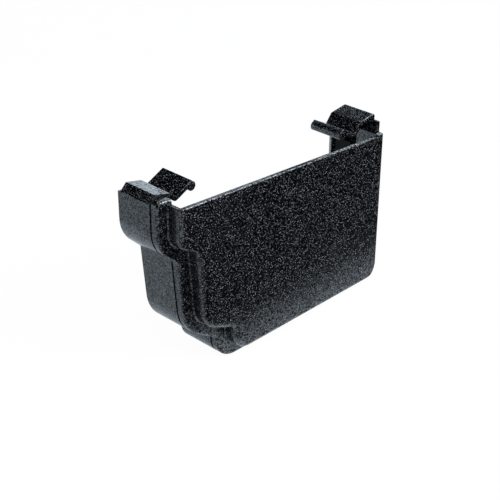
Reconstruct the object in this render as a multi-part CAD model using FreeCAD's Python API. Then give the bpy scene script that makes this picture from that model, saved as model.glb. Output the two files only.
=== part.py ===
"""Clip-on external stop end for an ogee gutter, moulded in one piece, with its rubber seal.

Profiles are drawn in the XZ plane and extruded along Y, the gutter's own direction. X runs from the
gutter's front to the fascia, Y from the end panel to the open mouth, Z up. While it is drawn, X = 0 is
the gutter's front face, Y = 0 the end panel and Z = 0 the gutter's underside. At the end the part is
moved so that its origin is the middle of its footprint, on the surface that it stands on.
"""
import FreeCAD
import Part
import math
import os

# Gutter that the stop end closes: outside of its wall, with the ogee steps of its front
gutter_width = 110.0
brow_height = 58.0
brow_radius = 11.3
waist_inset = 9.1
waist_drop = 8.6
waist_radius = 4.0
belly_inset = 11.7
belly_height = 20.1
belly_radius = 13.4
heel_inset = 28.0
heel_height = 9.9
heel_radius = 4.0
toe_run = 0.3
toe_radius = 6.7
back_foot_radius = 5.0

# Moulding: walls and fit round the gutter
wall = 2.6
fit_clearance = 0.4
lead_in = 1.0
lead_in_depth = 2.0

# Depths along Y
step_depth = 6.2
shadow_line_place = 9.1
shadow_line_width = 0.9
shadow_line_depth = 0.6
socket_end = 26.5

# End panel, raised from the rim along the front and the base, flush at the back
panel_step = 4.95
panel_under_step = 3.9
panel_toe_step = 4.4
panel_base_step = 4.9
panel_waist_lift = 3.9
panel_heel_lift = 3.5
panel_brow_radius = 7.0
panel_waist_radius = 3.6
panel_belly_radius = 10.4
panel_heel_radius = 3.1
panel_toe_radius = 7.6
panel_foot_radius = 7.2
panel_top_front = 73.0
panel_top_back = 67.0
panel_edge_radius = 2.0
panel_top_radius = 0.5
panel_wall = 1.2
panel_side_wall = 2.0
panel_lip_wall = 1.75
panel_lip = 4.0

# Rim round the panel
rim_drop = 1.1
rim_edge_radius = 1.0
rim_corner_radius = 1.9
riser_cove = 0.5

# Back wall, against the fascia: tall beside the clip, lower towards the mouth
back_wall_drop = 2.6
back_wall_start = 2.0
back_shoulder_rise = 1.1
back_shoulder_radius = 0.8
back_wall_low = 62.5

# Clips that snap over the gutter's front lip and back edge
clip_wall = 1.9
clip_root = 10.0
front_ridge = 76.4
front_bevel = 2.8
front_ridge_radius = 0.4
front_inner_radius = 2.8
front_roof_reach = 9.7
front_roof_fall = 1.5
front_nib_drop = 2.3
front_clip_start = 10.2
back_ridge = 75.2
back_bevel = 0.7
back_ridge_radius = 0.8
back_inner_radius = 3.2
back_roof_reach = 9.2
back_roof_fall = 1.2
back_nib_drop = 3.6
back_clip_start = 4.6
clip_length = 15.2
nib_run = 3.0
nib_radius = 1.6
roof_edge_radius = 1.1
tab_run = 7.7
tab_rise = 3.7
bead_radius = 1.85
bead_hang = 2.5
clip_edge_radius = 0.4
clip_end_radius = 0.3

# Rubber seal in its seat inside the socket
seal_width = 8.0
seal_from_mouth = 5.0
seal_seat_depth = 1.0
seal_proud = 1.0
seal_slack = 0.1
seal_below_wall = 1.5

# Values worked out from the sizes above
skin = fit_clearance + wall
outer_base = -skin
outer_front = -skin
outer_back = gutter_width + skin
above_all = max(front_ridge, back_ridge) + tab_rise + wall
rim_top = front_ridge - rim_drop
back_wall_top = back_ridge - back_wall_drop
rim_end = shadow_line_place + shadow_line_width
seal_start = socket_end - seal_from_mouth - seal_width
seal_top = back_wall_low - seal_below_wall
same = 1e-4


def gutter_corners(top):
    """Corners (x, z, radius) of the gutter's outside, from its front top down and round to its back."""
    return [
        (0.0, top, 0.0),
        (0.0, brow_height, brow_radius),
        (waist_inset, brow_height - waist_drop, waist_radius),
        (belly_inset, belly_height, belly_radius),
        (heel_inset, heel_height, heel_radius),
        (heel_inset + toe_run, 0.0, toe_radius),
        (gutter_width, 0.0, back_foot_radius),
        (gutter_width, top, 0.0),
    ]


def unit(start, end):
    """Unit direction from one point to another in the profile plane."""
    length = math.hypot(end[0] - start[0], end[1] - start[1])
    return (end[0] - start[0]) / length, (end[1] - start[1]) / length


def crossing(point_a, way_a, point_b, way_b):
    """Point where two lines cross."""
    cross = way_a[0] * way_b[1] - way_a[1] * way_b[0]
    gap_x, gap_z = point_b[0] - point_a[0], point_b[1] - point_a[1]
    along = (gap_x * way_b[1] - gap_z * way_b[0]) / cross
    return point_a[0] + along * way_a[0], point_a[1] + along * way_a[1]


def shifted_sides(points, shifts):
    """Lines of a run of points, each moved to its left by its own shift."""
    sides = []
    for start, end, shift in zip(points, points[1:], shifts):
        way = unit(start, end)
        sides.append(((start[0] - way[1] * shift, start[1] + way[0] * shift), way))
    return sides


def inset(corners, shifts):
    """Closed profile with each side moved inwards by its shift, and its radii following."""
    loop = [(x, z) for x, z, _ in corners] + [corners[0][:2]]
    sides = shifted_sides(loop, shifts)
    moved = []
    for place, (_, _, radius) in enumerate(corners):
        (point_a, way_a), (point_b, way_b) = sides[place - 1], sides[place]
        x, z = crossing(point_a, way_a, point_b, way_b)
        turn = way_a[0] * way_b[1] - way_a[1] * way_b[0]
        shift = (shifts[place - 1] + shifts[place]) / 2
        grown = radius - shift if turn > 0 else radius + shift
        moved.append((x, z, max(grown, 0.0) if radius else 0.0))
    return moved


def grown_gutter(distance, top_front, top_back):
    """Gutter profile moved outwards by one distance, with level or sloping top."""
    corners = inset(gutter_corners(above_all), [-distance] * 7 + [0.0])
    corners[0] = (corners[0][0], top_front, 0.0)
    corners[-1] = (corners[-1][0], top_back, 0.0)
    return corners


def rounded_edges(corners, y):
    """Edges of a closed profile at depth y, with an arc at each corner that has a radius."""
    ends = []
    arcs = []
    count = len(corners)
    for place, (x, z, radius) in enumerate(corners):
        before, after = corners[place - 1], corners[(place + 1) % count]
        way_in, way_out = unit(before, (x, z)), unit((x, z), after)
        turn = way_in[0] * way_out[1] - way_in[1] * way_out[0]
        if radius <= 0.0 or abs(turn) < same:
            ends.append(((x, z), (x, z)))
            arcs.append(None)
            continue
        half = math.atan2(turn, way_in[0] * way_out[0] + way_in[1] * way_out[1]) / 2
        reach = radius * abs(math.tan(half))
        start = x - way_in[0] * reach, z - way_in[1] * reach
        end = x + way_out[0] * reach, z + way_out[1] * reach
        inward = unit((x, z), ((start[0] + end[0]) / 2, (start[1] + end[1]) / 2))
        depth = radius / math.cos(half) - radius
        ends.append((start, end))
        arcs.append((x + inward[0] * depth, z + inward[1] * depth))
    edges = []
    for place in range(count):
        start, end = ends[place]
        if arcs[place]:
            points = [FreeCAD.Vector(px, y, pz) for px, pz in (start, arcs[place], end)]
            edges.append(Part.Arc(*points).toShape())
        onward = ends[(place + 1) % count][0]
        side = Part.LineSegment(FreeCAD.Vector(end[0], y, end[1]), FreeCAD.Vector(onward[0], y, onward[1]))
        edges.append(side.toShape())
    return edges


def profile_wire(corners, y):
    """Closed wire of a profile at depth y."""
    return Part.Wire(rounded_edges(corners, y))


def slab(corners, y_start, y_end):
    """Solid between two depths with one profile."""
    face = Part.Face(profile_wire(corners, y_start))
    return face.extrude(FreeCAD.Vector(0, y_end - y_start, 0))


def edges_at_depth(shape, y):
    """Edges that lie wholly in the plane at depth y."""
    return [edge for edge in shape.Edges
            if abs(edge.BoundBox.YMin - y) < same and abs(edge.BoundBox.YMax - y) < same]


def panel_corners(top_front, top_back):
    """End panel's outside profile: that of the cap, stepped in along its front and base."""
    outside = grown_gutter(skin, above_all, above_all)
    stepped = inset(outside, [panel_step, panel_under_step] * 2 + [panel_toe_step, panel_base_step, 0.0, 0.0])
    lifts = [0.0, 0.0, panel_waist_lift, 0.0, panel_heel_lift, 0.0, 0.0, 0.0]
    radii = [0.0, panel_brow_radius, panel_waist_radius, panel_belly_radius, panel_heel_radius,
             panel_toe_radius, 0.0, 0.0]
    corners = [(x, z + lift, radius) for (x, z, _), lift, radius in zip(stepped, lifts, radii)]
    corners[0] = (corners[0][0], top_front, 0.0)
    corners[-1] = (corners[-1][0], top_back, 0.0)
    return corners


def cavity_corners(top_front, top_back):
    """Profile of the space behind the end panel, inside its thin sides and the full back wall."""
    corners = inset(panel_corners(above_all, above_all), [panel_side_wall] * 6 + [wall, 0.0])
    corners[0] = (corners[0][0], top_front, 0.0)
    corners[6] = corners[6][:2] + (panel_foot_radius - wall,)
    corners[-1] = (corners[-1][0], top_back, 0.0)
    return corners


def panel_top_edges(panel):
    """Outer edges of the panel's sloping top, along its face and round to its side."""
    fall = (panel_top_back - panel_top_front) / (outer_back - outer_front - panel_step)
    edges = []
    for edge in panel.Edges:
        box = edge.BoundBox
        heights = [panel_top_front + (point.X - outer_front - panel_step) * fall for point in edge.Vertexes]
        on_top = all(abs(point.Z - height) < same for point, height in zip(edge.Vertexes, heights))
        if on_top and box.YMin < rim_end - same and box.XMin < outer_back - same:
            edges.append(edge)
    return edges


def panel_foot_waste():
    """Waste outside the rounding of the panel's lower back corner."""
    base = outer_base + panel_base_step
    centre = FreeCAD.Vector(outer_back - panel_foot_radius, 0.0, base + panel_foot_radius)
    side = panel_foot_radius + wall
    block = Part.makeBox(side, rim_end, side, FreeCAD.Vector(centre.x, 0.0, base - wall))
    return block.cut(Part.makeCylinder(panel_foot_radius, rim_end, centre, FreeCAD.Vector(0, 1, 0)))


def riser_skirt():
    """Small sloping cove where the panel's sides meet the rim."""
    riser = panel_corners(panel_top_front, panel_top_back)
    spread = inset(riser, [-riser_cove] * 6 + [0.0, 0.0])
    ends = ((riser, step_depth - riser_cove), (spread, step_depth))
    return Part.makeLoft([profile_wire(corners, y) for corners, y in ends], True, True)


def back_shoulder():
    """Low end of the back wall in front of its tall part, rounded towards the panel's face."""
    top = panel_top_back + back_shoulder_rise
    block = Part.makeBox(wall, back_wall_start + wall, top - brow_height,
                         FreeCAD.Vector(outer_back - wall, 0.0, brow_height))
    front_edge = [edge for edge in edges_at_depth(block, 0.0) if edge.BoundBox.ZMin > top - same]
    return block.makeFillet(back_shoulder_radius, front_edge)


def outside_body():
    """Outer form: raised end panel, rounded rim and socket band, before it is hollowed."""
    panel = slab(panel_corners(panel_top_front, panel_top_back), 0.0, rim_end)
    front_edges = [edge for edge in edges_at_depth(panel, 0.0)
                   if edge.BoundBox.XMin < outer_back - same and edge.BoundBox.ZMin < panel_top_back]
    panel = panel.makeFillet(panel_edge_radius, front_edges)
    panel = panel.makeFillet(panel_top_radius, panel_top_edges(panel))
    panel = panel.fuse(riser_skirt()).cut(panel_foot_waste())
    rim_outline = grown_gutter(skin, rim_top, back_wall_low)
    rim_outline[0] = rim_outline[0][:2] + (rim_corner_radius,)
    rim = slab(rim_outline, step_depth, rim_end)
    rim = rim.makeFillet(rim_edge_radius, edges_at_depth(rim, step_depth))
    band = slab(grown_gutter(skin, front_ridge - front_bevel, back_wall_low), shadow_line_place, socket_end)
    wall_end = back_clip_start + clip_length
    back_wall = Part.makeBox(wall, wall_end - back_wall_start, back_wall_top - brow_height,
                             FreeCAD.Vector(outer_back - wall, back_wall_start, brow_height))
    return panel.fuse([rim, band, back_wall, back_shoulder()]).removeSplitter()


def hollow():
    """Space inside: behind the panel, which keeps a thicker lip along its top, and the gutter's socket."""
    behind_panel = slab(cavity_corners(above_all, above_all), panel_lip_wall, rim_end + wall)
    under_lip = cavity_corners(panel_top_front - panel_lip, panel_top_back - panel_lip)
    below_lip = slab(under_lip, panel_wall, rim_end)
    socket = slab(grown_gutter(fit_clearance, above_all, above_all), rim_end, socket_end + skin)
    flare = ((0.0, socket_end - lead_in_depth), (lead_in, socket_end))
    mouth = Part.makeLoft([profile_wire(grown_gutter(fit_clearance + growth, above_all, above_all), y)
                           for growth, y in flare], True, True)
    return behind_panel.fuse([below_lip, socket, mouth])


def shadow_line():
    """Fine groove round the outside, between the rim and the socket band."""
    ring = slab(grown_gutter(skin + wall, above_all, above_all), shadow_line_place, rim_end)
    over = above_all + wall
    core = slab(grown_gutter(skin - shadow_line_depth, over, over), shadow_line_place, rim_end)
    return ring.cut(core)


def clip_section(ridge, bevel, ridge_radius, inner_radius, roof_reach, roof_fall, nib_drop):
    """Strip section of a clip: u runs inwards from the wall's outer face, second value is height."""
    root = 0.0, ridge - clip_root
    roof_end = roof_reach, ridge - roof_fall
    nib = roof_reach + nib_run, ridge - roof_fall - nib_drop
    tip = nib[0] + tab_run, nib[1] + tab_rise
    square_ridge = 0.0, ridge + bevel * roof_fall / (roof_reach - bevel)
    sides = shifted_sides([root, square_ridge, roof_end, nib, tip], [-clip_wall] * 4)
    under_ridge, under_roof, under_nib = [crossing(*sides[place], *sides[place + 1]) for place in range(3)]
    along_tab = unit(nib, tip)
    under_tip = tip[0] + along_tab[1] * clip_wall, tip[1] - along_tab[0] * clip_wall
    rounded = [
        (root, 0.0),
        ((0.0, ridge - bevel), ridge_radius),
        ((bevel, ridge), ridge_radius),
        (roof_end, roof_edge_radius),
        (nib, clip_edge_radius),
        (tip, clip_edge_radius),
        (under_tip, clip_edge_radius),
        (under_nib, nib_radius),
        (under_roof, clip_edge_radius),
        (under_ridge, inner_radius),
        ((clip_wall, root[1]), 0.0),
    ]
    return [(u, z, radius) for (u, z), radius in rounded]


def rounded_ends(piece, y_start):
    """Piece of a clip with the edges of both its ends rounded."""
    ends = edges_at_depth(piece, y_start) + edges_at_depth(piece, y_start + clip_length)
    return piece.makeFillet(clip_end_radius, ends)


def clip(section, y_start, from_back):
    """Clip over the gutter's lip with its finger tab and bead, on the front wall or mirrored on the back."""
    tip_u, tip_z, _ = section[5]
    place = (lambda u: outer_back - u) if from_back else (lambda u: outer_front + u)
    strip = slab([(place(u), z, radius) for u, z, radius in section], y_start, y_start + clip_length)
    bead_end = FreeCAD.Vector(place(tip_u), y_start, tip_z - bead_hang)
    bead = Part.makeCylinder(bead_radius, clip_length, bead_end, FreeCAD.Vector(0, 1, 0))
    return rounded_ends(strip, y_start).fuse(rounded_ends(bead, y_start))


def lining(outer_growth, inner_growth, slack):
    """Strip along the socket wall between two growths of the gutter profile, cut off level at its top."""
    y_start, y_end = seal_start + slack, seal_start + seal_width - slack
    outside = slab(grown_gutter(outer_growth - slack, above_all, above_all), y_start, y_end)
    inside = slab(grown_gutter(inner_growth, above_all + wall, above_all + wall), y_start, y_end)
    top = seal_top - slack
    below = Part.makeBox(outer_back - outer_front, y_end - y_start, top - outer_base,
                         FreeCAD.Vector(outer_front, y_start, outer_base))
    return outside.cut(inside).common(below)


def seal_seat():
    """Shallow groove in the socket that holds the seal."""
    return lining(fit_clearance + seal_seat_depth, -wall, 0.0)


def gutter_seal():
    """Rubber strip that follows the socket from its front to its back and stands proud of its seat."""
    return lining(fit_clearance + seal_seat_depth, fit_clearance - seal_proud, seal_slack)


def end_cap():
    """Whole moulding."""
    front = clip_section(front_ridge, front_bevel, front_ridge_radius, front_inner_radius,
                         front_roof_reach, front_roof_fall, front_nib_drop)
    back = clip_section(back_ridge, back_bevel, back_ridge_radius, back_inner_radius,
                        back_roof_reach, back_roof_fall, back_nib_drop)
    body = outside_body().cut(hollow()).cut(shadow_line()).cut(seal_seat())
    front_clip = clip(front, front_clip_start, False)
    back_clip = clip(back, back_clip_start, True)
    return body.fuse([front_clip, back_clip]).removeSplitter()


def placed(shape):
    """Part moved so that its origin is the middle of its footprint."""
    shape.translate(FreeCAD.Vector(-gutter_width / 2, -socket_end / 2, -outer_base))
    return shape


os.makedirs("parts", exist_ok=True)
for name, shape in (("end_cap", end_cap()), ("gutter_seal", gutter_seal())):
    placed(shape).exportStep(f"parts/{name}.step")
    print(name, len(shape.Solids), "solid, valid", shape.isValid(), "volume", round(shape.Volume, 1))
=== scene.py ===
"""Looks for the gutter end cap: black grained plastic, rubber seal, white table and studio light."""
from math import radians

import bmesh
import bpy
from mathutils import Matrix, Vector


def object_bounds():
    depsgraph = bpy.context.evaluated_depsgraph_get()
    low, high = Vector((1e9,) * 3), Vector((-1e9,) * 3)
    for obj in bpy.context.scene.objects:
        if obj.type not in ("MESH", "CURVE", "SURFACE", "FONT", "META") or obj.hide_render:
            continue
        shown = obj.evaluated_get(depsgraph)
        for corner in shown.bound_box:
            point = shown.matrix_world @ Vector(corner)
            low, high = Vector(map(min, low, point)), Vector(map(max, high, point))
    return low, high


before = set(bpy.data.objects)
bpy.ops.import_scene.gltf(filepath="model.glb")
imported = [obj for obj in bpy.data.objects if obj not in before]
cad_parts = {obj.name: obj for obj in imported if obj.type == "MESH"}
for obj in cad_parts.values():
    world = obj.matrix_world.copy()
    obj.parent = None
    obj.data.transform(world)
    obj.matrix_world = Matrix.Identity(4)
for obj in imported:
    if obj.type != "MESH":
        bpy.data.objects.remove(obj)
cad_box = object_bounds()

# Camera of the photograph: metres, degrees, and pixels of its 500-pixel frame
CAMERA_PLACE = (-0.296987, -0.281299, 0.260154)
CAMERA_TURN = -46.0941
CAMERA_TILT = 61.1885
CAMERA_ROLL = 0.3295
CAMERA_NEAR, CAMERA_FAR = 0.01, 20.0
FOCAL_PIXELS = 1193.37
PHOTO_PIXELS = 500
SENSOR_MM = 36.0

# Faces of the solids that the finish follows
PANEL_FACE = cad_box[0][1]
BACK_FACE = cad_box[1][0]

# Moulded black plastic with the grain of cast iron
PLASTIC_DARK = (0.0008, 0.0009, 0.0012, 1.0)
# Dim and bright tones of the pale specks: painted glints of the grain, over the plastic's own black
PAINTED_GLINT_DIM = (0.083, 0.085, 0.096, 1.0)
PAINTED_GLINT_BRIGHT = (0.5, 0.505, 0.57, 1.0)
BLACK_AND_PAINTED_GLINTS = [(0.05, PLASTIC_DARK), (0.5, PAINTED_GLINT_DIM), (1.0, PAINTED_GLINT_BRIGHT)]
PLASTIC_ROUGHNESS = (0.2, 0.27)
PLASTIC_IOR = 1.5
GRAIN_PER_METRE = 1820.0
GRAIN_REACH = 0.33
GRAIN_HEIGHT = 0.00017
# Reach of each pale speck, a painted glint, around its grain's centre
PAINTED_GLINT_REACH = 0.6
FINE_GRAIN_PER_METRE = 2600.0
FINE_GRAIN_DETAIL = 1.0
FINE_GRAIN_HEIGHT = 0.00003
PATCHES_PER_METRE = 55.0
PATCH_DETAIL = 2.0
PATCH_RANGE = (0.3, 0.7)

# Gloss of the dullest and the brightest grain, on most faces and on those that look along the width
FACE_SHINE = (0.02, 0.96)
SIDE_SHINE = (0.18, 0.84)
SIDEWAYS = (0.3, 0.8)

# Lip along the panel's top, shaded as if it slanted forwards
LIP_START = PANEL_FACE - 0.00015
LIP_END = PANEL_FACE + 0.00205
LIP_FADE = 0.0004
LIP_SLANT = 0.0007
LIP_GROWS = (-0.01, 0.03)
FACING_UP = (0.8, 0.95)

# Patches inside the back wall with their gloss taken away, as painted shade under the clip; boxes that fade
# at their sides
SHADE_PATCH_WIDTH = (BACK_FACE - 0.0045, BACK_FACE - 0.0012)
SHADE_PATCHES = [{"X": SHADE_PATCH_WIDTH, "Y": (-0.0015, 0.0112), "Z": (0.003, 0.0725)},
            {"X": SHADE_PATCH_WIDTH, "Y": (-0.0112, 0.0112), "Z": (0.0712, 0.0765)}]
SHADE_PATCH_FADE = 0.0008
SHADE_PATCH_SHINE = 0.0

# Matt rubber, its streaks squeezed across the strip
RUBBER_DARK = (0.004, 0.004, 0.0043, 1.0)
RUBBER_LIGHT = (0.012, 0.012, 0.0125, 1.0)
RUBBER_COLOURS = [(0.3, RUBBER_DARK), (0.75, RUBBER_LIGHT)]
RUBBER_ROUGHNESS = (0.55, 0.75)
RUBBER_IOR = 1.45
RUBBER_SHINE = 0.12
STREAK_SQUEEZE = (1.0, 6.0, 1.0)
STREAKS_PER_METRE = 320.0
STREAK_DETAIL = 3.0
STREAK_RANGE = (0.3, 0.7)
STREAK_HEIGHT = 0.0001
STREAK_STRENGTH = 0.35

# White table as the camera sees it
WHITE = (1.0, 1.0, 1.0, 1.0)
TABLE_SIZE = 6.0
TABLE_COLOUR = (0.8, 0.8, 0.8, 1.0)
TABLE_GLOW = 1.045
TABLE_GLOW_SHARE = 0.93

# Table as gloss sees it: where each change starts and ends in metres, and the levels there
TABLE_BEHIND = (-0.04, -0.017, 0.02, 1.45)
TABLE_BEYOND = (-0.012, 0.0, 1.0, 0.66)
TABLE_NEAR = (-0.2, -0.08, 1.15, 0.02)
FAR_CORNER_X = (-0.11, -0.085)
FAR_CORNER_Y = (0.07, 0.085)
FAR_CORNER_LEVELS = (1.0, 1.9)

# Studio in the same way, by direction: a low backdrop behind the part and a bright shelf on the right
STUDIO_TINT = (0.78, 0.9, 1.0, 1.0)
BACKDROP_TOP = (0.1, 0.45, 1.0, 0.0)
BACKDROP_DEPTH = (-0.15, 0.35)
BACKDROP_LEVELS = (0.02, 2.4)
SHELF_FOOT, SHELF_TOP = (0.17, 0.28), (0.33, 0.4)
SHELF_WIDTH = (0.48, 0.62)
SHELF_DEPTH = (0.3, 0.5, 0.0, 2.3)

# Lamps: place and size in metres, power in watts
LAMP_TINT = (0.92, 0.95, 1.0)
LAMP_TARGET = (0.0, 0.0, 0.04)
SOFTBOXES = {
    "front_softbox": {"place": (0.5, -0.98, 0.56), "size": 0.9, "power": 13.2},
    "top_softbox": {"place": (-0.45, -0.4, 1.0), "size": 0.7, "power": 3.6},
    "right_glint": {"place": (0.82, -0.05, 1.04), "size": 0.42, "power": 9.0, "glint": True},
    "right_front_glint": {"place": (0.82, -0.47, 0.93), "size": 0.42, "power": 9.0, "glint": True},
}


class Nodes:
    """Short way to add shader nodes and join them in one tree."""

    def __init__(self, tree):
        self.tree = tree
        tree.nodes.clear()

    def add(self, kind, inputs=None, **settings):
        """New node with its settings, its inputs given as values or as other nodes' outputs."""
        node = self.tree.nodes.new(kind)
        for name, value in settings.items():
            setattr(node, name, value)
        for name, value in (inputs or {}).items():
            if isinstance(value, bpy.types.NodeSocket):
                self.tree.links.new(value, node.inputs[name])
            else:
                node.inputs[name].default_value = value
        return node

    def axes(self, vector):
        """X, Y and Z of a vector."""
        return self.add("ShaderNodeSeparateXYZ", {"Vector": vector}).outputs

    def math(self, operation, first, second):
        """One sum on two values."""
        node = self.add("ShaderNodeMath", {0: first, 1: second}, operation=operation)
        return node.outputs["Value"]

    def product(self, first, second):
        """Two values multiplied."""
        return self.math("MULTIPLY", first, second)

    def between(self, value, low, high, to_low=0.0, to_high=1.0):
        """Value mapped from one range to another, smoothly and held at its ends."""
        node = self.add("ShaderNodeMapRange", {"Value": value, "From Min": low, "From Max": high,
                                               "To Min": to_low, "To Max": to_high},
                        interpolation_type="SMOOTHSTEP")
        return node.outputs["Result"]

    def window(self, value, rise, fall):
        """Nought that rises to one over the first range and falls to nought again over the second."""
        return self.product(self.between(value, *rise), self.between(value, *fall, 1.0, 0.0))

    def noise(self, place, per_metre, detail):
        """Cloudy noise."""
        node = self.add("ShaderNodeTexNoise", {"Vector": place, "Scale": per_metre, "Detail": detail})
        return node.outputs["Fac"]

    def ramp(self, factor, stops):
        """Colour ramp with its stops given as (place, colour)."""
        node = self.add("ShaderNodeValToRGB", {"Fac": factor})
        while len(node.color_ramp.elements) < len(stops):
            node.color_ramp.elements.new(0.5)
        for element, (place, colour) in zip(node.color_ramp.elements, stops):
            element.position, element.color = place, colour
        return node.outputs["Color"]

    def relief(self, pattern, height, strength=1.0, over=None):
        """Shading of a pattern that stands out by a height, over another relief where one is given."""
        inputs = {"Height": pattern, "Strength": strength, "Distance": height}
        if over is not None:
            inputs["Normal"] = over
        return self.add("ShaderNodeBump", inputs).outputs["Normal"]

    def mix(self, share, first, second):
        """Two shaders mixed by the second one's share."""
        return self.add("ShaderNodeMixShader", {0: share, 1: first, 2: second}).outputs["Shader"]

    def piece_surface(self, inputs):
        """Shader of a piece, joined to its material."""
        shader = self.add("ShaderNodeBsdfPrincipled", inputs)
        self.add("ShaderNodeOutputMaterial", {"Surface": shader.outputs["BSDF"]})


def new_material(name):
    """Empty node material and its tree."""
    material = bpy.data.materials.new(name)
    material.use_nodes = True
    return material, Nodes(material.node_tree)


def lip_relief(nodes, spot, facing):
    """Panel's flat top lip shaded as if it slanted forwards, more so towards the back wall."""
    slant = nodes.window(spot["Y"], (LIP_START, LIP_END), (LIP_END, LIP_END + LIP_FADE))
    grown = nodes.product(slant, nodes.between(spot["X"], *LIP_GROWS))
    on_top = nodes.product(grown, nodes.between(facing["Z"], *FACING_UP))
    return nodes.relief(on_top, LIP_SLANT)


def painted_shade_mask(nodes, spot):
    """One on the patches inside the back wall whose gloss is taken away as painted shade, and nought
    elsewhere.
    """
    found = 0.0
    for box in SHADE_PATCHES:
        inside = 1.0
        for axis, (low, high) in box.items():
            within = nodes.window(spot[axis], (low - SHADE_PATCH_FADE, low), (high, high + SHADE_PATCH_FADE))
            inside = nodes.product(inside, within)
        found = nodes.math("MAXIMUM", found, inside)
    return found


def grain_shine(nodes, spot, facing, grade):
    """Gloss of each grain by its grade, calmer on faces that look along the width, taken away as painted
    shade on the patches inside the back wall.
    """
    sideways = nodes.product(facing["X"], facing["X"])
    dull, bright = [nodes.between(sideways, *SIDEWAYS, face, side)
                    for face, side in zip(FACE_SHINE, SIDE_SHINE)]
    facet = nodes.between(grade, 0.0, 1.0, dull, bright)
    # No gloss on the patches inside the back wall: painted shade
    return nodes.product(facet, nodes.between(painted_shade_mask(nodes, spot), 0.0, 1.0, 1.0, SHADE_PATCH_SHINE))


def grained_plastic():
    """Black moulded plastic: raised grains with a pale speck each, painted on as the grain's glint, fine
    grain over all, uneven gloss.
    """
    material, nodes = new_material("grained_black_plastic")
    where = nodes.add("ShaderNodeTexCoord").outputs
    place = where["Object"]
    spot, facing = nodes.axes(place), nodes.axes(where["Normal"])
    cells = nodes.add("ShaderNodeTexVoronoi", {"Vector": place, "Scale": GRAIN_PER_METRE}).outputs
    grade = nodes.add("ShaderNodeSeparateColor", {"Color": cells["Color"]}).outputs["Red"]
    grain = nodes.between(cells["Distance"], 0.0, GRAIN_REACH, 1.0, 0.0)
    # Pale speck on each grain, brighter by its grade: a painted glint
    painted_glints = nodes.product(grade, nodes.between(cells["Distance"], 0.0, PAINTED_GLINT_REACH, 1.0, 0.0))
    fine_grain = nodes.noise(place, FINE_GRAIN_PER_METRE, FINE_GRAIN_DETAIL)
    patches = nodes.noise(place, PATCHES_PER_METRE, PATCH_DETAIL)
    lip = lip_relief(nodes, spot, facing)
    fine_relief = nodes.relief(fine_grain, FINE_GRAIN_HEIGHT, over=lip)
    nodes.piece_surface({
        "Base Color": nodes.ramp(painted_glints, BLACK_AND_PAINTED_GLINTS),
        "Roughness": nodes.between(patches, *PATCH_RANGE, *PLASTIC_ROUGHNESS),
        "Specular IOR Level": grain_shine(nodes, spot, facing, grade),
        "IOR": PLASTIC_IOR,
        "Normal": nodes.relief(grain, GRAIN_HEIGHT, over=fine_relief),
    })
    return material


def seal_rubber():
    """Matt rubber with faint moulding streaks along the strip."""
    material, nodes = new_material("seal_rubber")
    place = nodes.add("ShaderNodeTexCoord").outputs["Object"]
    squeezed = nodes.add("ShaderNodeMapping", {"Vector": place, "Scale": STREAK_SQUEEZE}).outputs["Vector"]
    streaks = nodes.noise(squeezed, STREAKS_PER_METRE, STREAK_DETAIL)
    nodes.piece_surface({
        "Base Color": nodes.ramp(streaks, RUBBER_COLOURS),
        "Roughness": nodes.between(streaks, *STREAK_RANGE, *RUBBER_ROUGHNESS),
        "Specular IOR Level": RUBBER_SHINE,
        "IOR": RUBBER_IOR,
        "Normal": nodes.relief(streaks, STREAK_HEIGHT, STREAK_STRENGTH),
    })
    return material


def table_sheen(nodes):
    """Level of the table in gloss: dim close before the panel, brighter behind it and near the camera."""
    spot = nodes.axes(nodes.add("ShaderNodeTexCoord").outputs["Object"])
    behind = nodes.product(nodes.between(spot["Y"], *TABLE_BEHIND), nodes.between(spot["Y"], *TABLE_BEYOND))
    far_corner = nodes.product(nodes.between(spot["X"], *FAR_CORNER_X),
                               nodes.between(spot["Y"], *FAR_CORNER_Y))
    backdrop = nodes.product(behind, nodes.between(far_corner, 0.0, 1.0, *FAR_CORNER_LEVELS))
    across = nodes.math("ADD", spot["X"], spot["Y"])
    return nodes.math("MAXIMUM", backdrop, nodes.between(across, *TABLE_NEAR))


def table_material():
    """White table: to the camera white with a faint shadow, to gloss darker and lighter in places."""
    material, nodes = new_material("white_table")
    ray = nodes.add("ShaderNodeLightPath").outputs
    lit = nodes.add("ShaderNodeBsdfDiffuse", {"Color": TABLE_COLOUR}).outputs["BSDF"]
    glow = nodes.add("ShaderNodeEmission", {"Color": WHITE, "Strength": TABLE_GLOW})
    shown = nodes.mix(TABLE_GLOW_SHARE, lit, glow.outputs["Emission"])
    sheen = nodes.add("ShaderNodeEmission", {"Color": STUDIO_TINT, "Strength": table_sheen(nodes)})
    unseen = nodes.mix(ray["Is Glossy Ray"], lit, sheen.outputs["Emission"])
    surface = nodes.mix(ray["Is Camera Ray"], unseen, shown)
    nodes.add("ShaderNodeOutputMaterial", {"Surface": surface})
    return material


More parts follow.
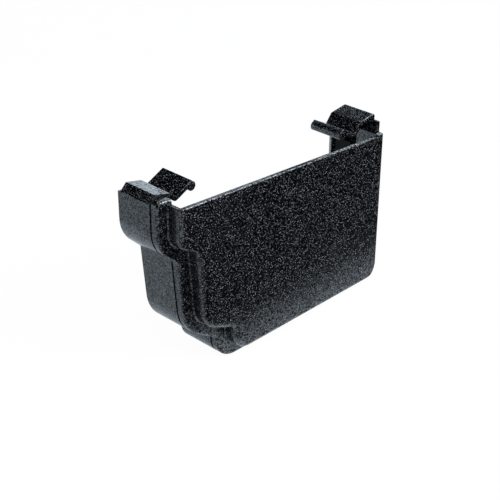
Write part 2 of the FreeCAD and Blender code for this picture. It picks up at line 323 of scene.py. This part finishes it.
def studio():
    """World: white to the camera, for the rest a low backdrop, a bright shelf and dimness elsewhere."""
    world = bpy.data.worlds.new("studio")
    bpy.context.scene.world = world
    world.use_nodes = True
    nodes = Nodes(world.node_tree)
    ray = nodes.add("ShaderNodeLightPath").outputs
    way = nodes.axes(nodes.add("ShaderNodeTexCoord").outputs["Generated"])
    behind = nodes.product(nodes.between(way["Z"], *BACKDROP_TOP), nodes.between(way["Y"], *BACKDROP_DEPTH))
    backdrop = nodes.between(behind, 0.0, 1.0, *BACKDROP_LEVELS)
    right = nodes.product(nodes.between(way["X"], *SHELF_WIDTH), nodes.between(way["Y"], *SHELF_DEPTH))
    shelf = nodes.product(nodes.window(way["Z"], SHELF_FOOT, SHELF_TOP), right)
    level = nodes.math("ADD", backdrop, shelf)
    room = nodes.add("ShaderNodeBackground", {"Color": STUDIO_TINT, "Strength": level})
    white = nodes.add("ShaderNodeBackground", {"Color": WHITE, "Strength": 1.0})
    sky = nodes.mix(ray["Is Camera Ray"], room.outputs["Background"], white.outputs["Background"])
    nodes.add("ShaderNodeOutputWorld", {"Surface": sky})


def softbox(name, place, size, power, glint=False):
    """Square area lamp that faces the part; a glint lamp shows in gloss only."""
    lamp = bpy.data.lights.new(name, "AREA")
    lamp.shape, lamp.size, lamp.energy = "SQUARE", size, power
    lamp.color = STUDIO_TINT[:3] if glint else LAMP_TINT
    holder = bpy.data.objects.new(name, lamp)
    bpy.context.scene.collection.objects.link(holder)
    away = Vector(place) - Vector(LAMP_TARGET)
    holder.location = place
    holder.visible_diffuse = not glint
    holder.rotation_euler = away.to_track_quat("Z", "Y").to_euler()


def table():
    """Level table under the part."""
    mesh = bpy.data.meshes.new("white_table")
    made = bmesh.new()
    bmesh.ops.create_grid(made, x_segments=1, y_segments=1, size=TABLE_SIZE / 2)
    made.to_mesh(mesh)
    made.free()
    top = bpy.data.objects.new("white_table", mesh)
    bpy.context.scene.collection.objects.link(top)
    mesh.materials.append(table_material())


def photo_camera():
    """Camera at the place and angle of the photograph."""
    lens = bpy.data.cameras.new("photo_camera")
    lens.sensor_width = SENSOR_MM
    lens.lens = FOCAL_PIXELS / PHOTO_PIXELS * SENSOR_MM
    lens.clip_start, lens.clip_end = CAMERA_NEAR, CAMERA_FAR
    camera = bpy.data.objects.new("photo_camera", lens)
    bpy.context.scene.collection.objects.link(camera)
    stand = Matrix.Translation(CAMERA_PLACE)
    for angle, axis in [(CAMERA_TURN, "Z"), (CAMERA_TILT, "X"), (CAMERA_ROLL, "Z")]:
        stand = stand @ Matrix.Rotation(radians(angle), 4, axis)
    camera.matrix_world = stand
    bpy.context.scene.camera = camera


def finish_node(name, material):
    """Gives a CAD node its material."""
    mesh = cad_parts[name].data
    mesh.materials.clear()
    mesh.materials.append(material)


finish_node("end_cap", grained_plastic())
finish_node("gutter_seal", seal_rubber())
studio()
table()
for lamp_name, lamp_values in SOFTBOXES.items():
    softbox(lamp_name, **lamp_values)
photo_camera()
bpy.context.scene.view_settings.view_transform = "Standard"
